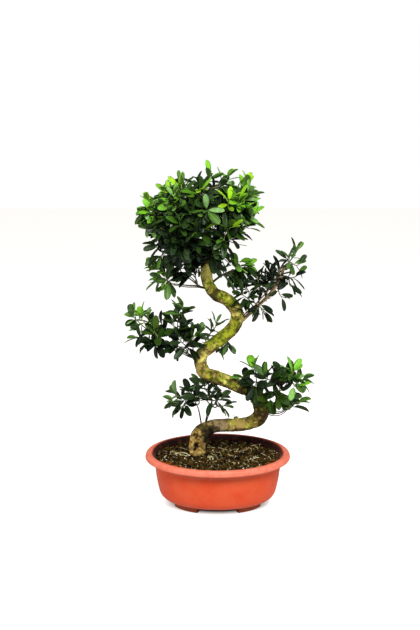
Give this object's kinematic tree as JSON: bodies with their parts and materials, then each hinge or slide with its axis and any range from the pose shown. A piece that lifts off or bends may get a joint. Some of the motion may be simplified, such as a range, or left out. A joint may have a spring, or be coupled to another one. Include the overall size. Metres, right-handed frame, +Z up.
{
  "type": "potted ficus bonsai tree",
  "caption": "Ficus bonsai with an S-curved trunk and rounded heads of glossy leaves, growing in soil in an oval plastic pot with a rolled rim and low feet.",
  "frame": {"origin": "on the surface that the pot stands on, under the middle of the pot", "axes": "+Z up; +X to the right along the length of the oval pot, seen from the front; -Y towards the front, the side that the sawn face of the heel shows on"},
  "size_m": [0.4469, 0.284, 0.8268],
  "materials": {
    "pot_plastic": "satin",
    "soil": "matte",
    "bark": "matte",
    "leaf": "satin"
  },
  "bodies": {
    "root": {"pot": "pot_plastic", "soil": "soil", "trunk": "bark", "crown_spray_01": "leaf", "crown_spray_02": "leaf", "crown_spray_03": "leaf", "crown_spray_04": "leaf", "crown_spray_05": "leaf", "crown_spray_06": "leaf", "crown_spray_07": "leaf", "crown_spray_08": "leaf", "crown_spray_09": "leaf", "crown_spray_10": "leaf", "crown_spray_11": "leaf", "crown_spray_12": "leaf", "crown_spray_13": "leaf", "crown_spray_14": "leaf", "crown_spray_15": "leaf", "crown_spray_16": "leaf", "crown_spray_17": "leaf", "crown_spray_18": "leaf", "crown_spray_19": "leaf", "crown_spray_20": "leaf", "crown_spray_21": "leaf", "crown_spray_22": "leaf", "crown_spray_23": "leaf", "right_middle_spray_01": "leaf", "right_middle_spray_02": "leaf", "right_middle_spray_03": "leaf", "right_middle_spray_04": "leaf", "right_middle_spray_05": "leaf", "right_middle_spray_06": "leaf", "left_middle_spray_01": "leaf", "left_middle_spray_02": "leaf", "left_middle_spray_03": "leaf", "left_middle_spray_04": "leaf", "left_middle_spray_05": "leaf", "left_lower_spray_01": "leaf", "left_lower_spray_02": "leaf", "left_lower_spray_03": "leaf", "left_lower_spray_04": "leaf", "right_lower_spray_01": "leaf", "right_lower_spray_02": "leaf", "right_lower_spray_03": "leaf", "right_lower_spray_04": "leaf", "right_lower_spray_05": "leaf", "right_lower_spray_06": "leaf", "trunk_sprig_spray_01": "leaf", "trunk_sprig_spray_02": "leaf"}
  },
  "joints": []
}
